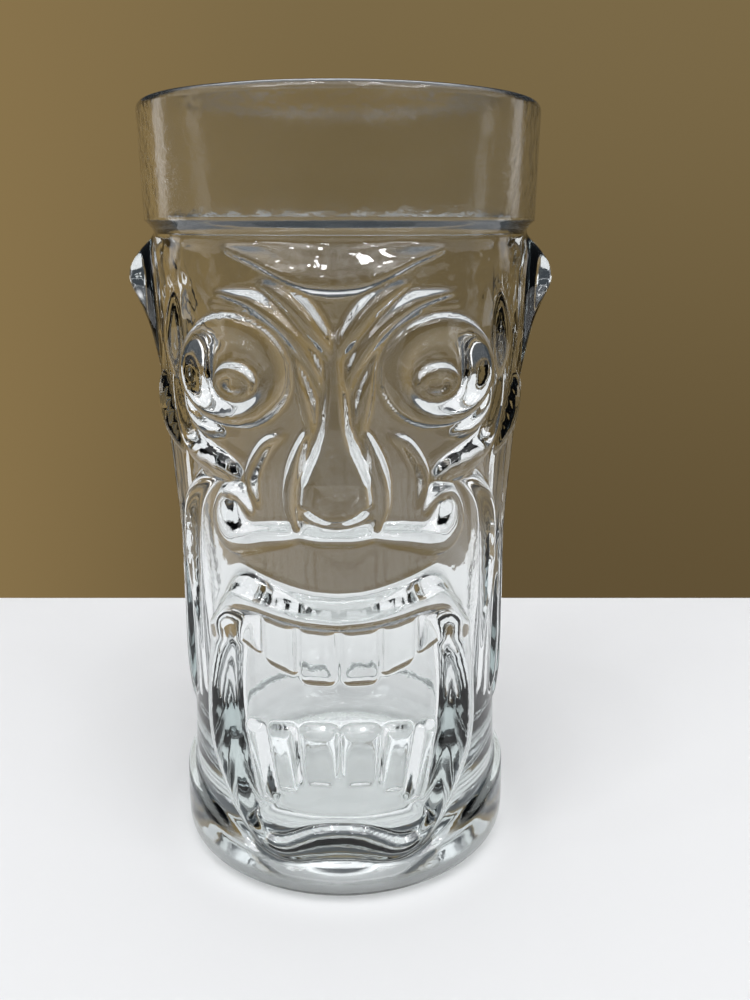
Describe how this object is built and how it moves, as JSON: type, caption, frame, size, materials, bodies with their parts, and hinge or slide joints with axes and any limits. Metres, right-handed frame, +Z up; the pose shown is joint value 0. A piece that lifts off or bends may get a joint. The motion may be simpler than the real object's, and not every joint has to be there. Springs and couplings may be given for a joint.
{
  "type": "tiki drinking glass",
  "caption": "Tall clear pressed-glass tumbler with a shouting carved tiki face, side ears and locks of hair in relief, a plain rim band and a thick flared foot.",
  "frame": {"origin": "middle of the foot, on the surface that the glass stands on", "axes": "+Z up through the open mouth of the glass; the carved face looks along -Y and the ears stand out along +X and -X"},
  "size_m": [0.0866, 0.08, 0.16],
  "materials": {
    "clear_glass": "clear pressed soda-lime glass, fire-polished, faintly mottled outside and smooth inside"
  },
  "bodies": {
    "root": {"rim_band": "clear_glass", "neck": "clear_glass", "wall_upper": "clear_glass", "wall_middle": "clear_glass", "wall_lower": "clear_glass", "base": "clear_glass", "headband": "clear_glass", "brow_inner_left": "clear_glass", "brow_inner_right": "clear_glass", "brow_outer_left": "clear_glass", "brow_outer_right": "clear_glass", "eye_socket_left": "clear_glass", "eye_socket_right": "clear_glass", "eye_ring_left": "clear_glass", "eye_ring_right": "clear_glass", "pupil_left": "clear_glass", "pupil_right": "clear_glass", "temple_left": "clear_glass", "temple_right": "clear_glass", "ear_left": "clear_glass", "ear_right": "clear_glass", "nose": "clear_glass", "nostril_left": "clear_glass", "nostril_right": "clear_glass", "moustache": "clear_glass", "scroll_left": "clear_glass", "scroll_right": "clear_glass", "cheek_left": "clear_glass", "cheek_right": "clear_glass", "lower_lid_left": "clear_glass", "lower_lid_right": "clear_glass", "upper_lip": "clear_glass", "lip_left": "clear_glass", "lip_right": "clear_glass", "lower_lip": "clear_glass", "upper_teeth": "clear_glass", "lower_teeth": "clear_glass", "chin": "clear_glass", "hair_left": "clear_glass", "hair_right": "clear_glass"}
  },
  "joints": []
}
